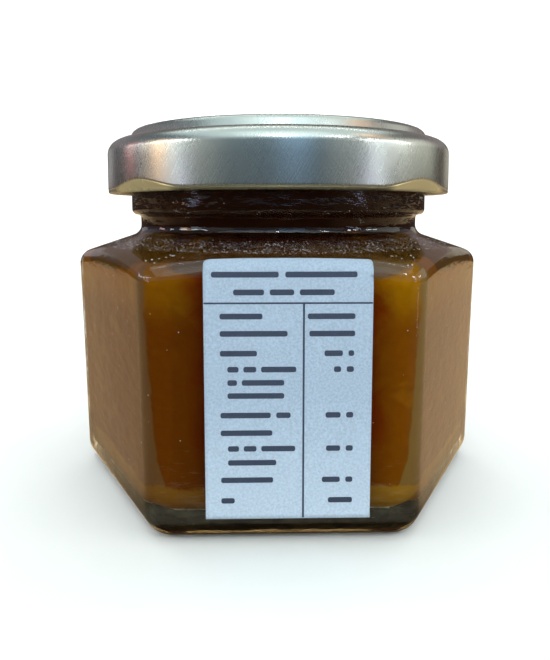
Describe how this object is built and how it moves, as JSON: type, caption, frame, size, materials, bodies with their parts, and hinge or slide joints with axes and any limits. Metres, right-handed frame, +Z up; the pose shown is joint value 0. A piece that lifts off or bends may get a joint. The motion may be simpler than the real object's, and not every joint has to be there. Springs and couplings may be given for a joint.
{
  "type": "jar of apricot jam",
  "caption": "Small hexagonal glass jar full of dark apricot jam, shut by a satin metal twist-off lid, with a plain paper table label on the front face.",
  "frame": {"origin": "middle of the foot, on the surface the jar stands on", "axes": "+Z up along the jar's axis; the labelled face looks along -Y; +X to the right of that face"},
  "size_m": [0.0676, 0.0599, 0.0555],
  "materials": {
    "glass": "clear, smooth",
    "jam": "glossy, translucent amber",
    "lid_metal": "satin champagne lacquer",
    "label_paper": "matt white paper"
  },
  "bodies": {
    "root": {"glass_jar": "glass", "jam": "jam", "lid": "lid_metal", "label": "label_paper"}
  },
  "joints": []
}
